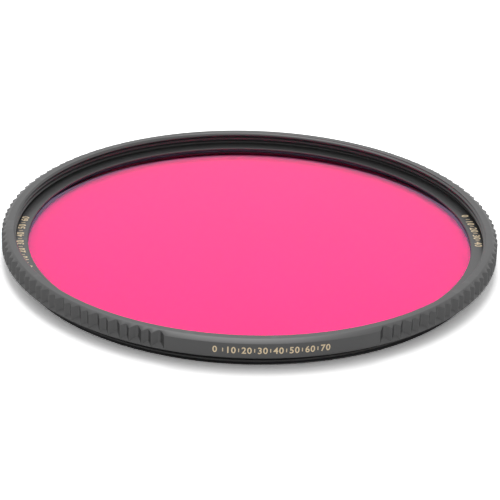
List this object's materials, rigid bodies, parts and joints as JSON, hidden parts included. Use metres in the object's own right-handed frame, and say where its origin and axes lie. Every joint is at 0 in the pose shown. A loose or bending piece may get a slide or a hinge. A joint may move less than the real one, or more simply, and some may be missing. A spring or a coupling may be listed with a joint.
{
  "type": "infrared lens filter",
  "caption": "Round screw-in lens filter: a fluted black ring with a female thread in front and a male thread behind holds a coated red infrared glass disc.",
  "frame": {"origin": "centre of the rear face, where the filter rests", "axes": "+Z along the optical axis towards the front thread; -Y towards the middle of the smooth, marked stretch of the grip band"},
  "size_m": [0.086, 0.086, 0.0054],
  "materials": {
    "black_anodised_ring": "fine-blasted, black anodised, with gold printed marks",
    "coated_red_glass": "polished, violet anti-reflection coating",
    "black_retaining_ring": "turned, black anodised"
  },
  "bodies": {
    "root": {"filter_ring": "black_anodised_ring", "filter_glass": "coated_red_glass", "retaining_ring": "black_retaining_ring"}
  },
  "joints": []
}
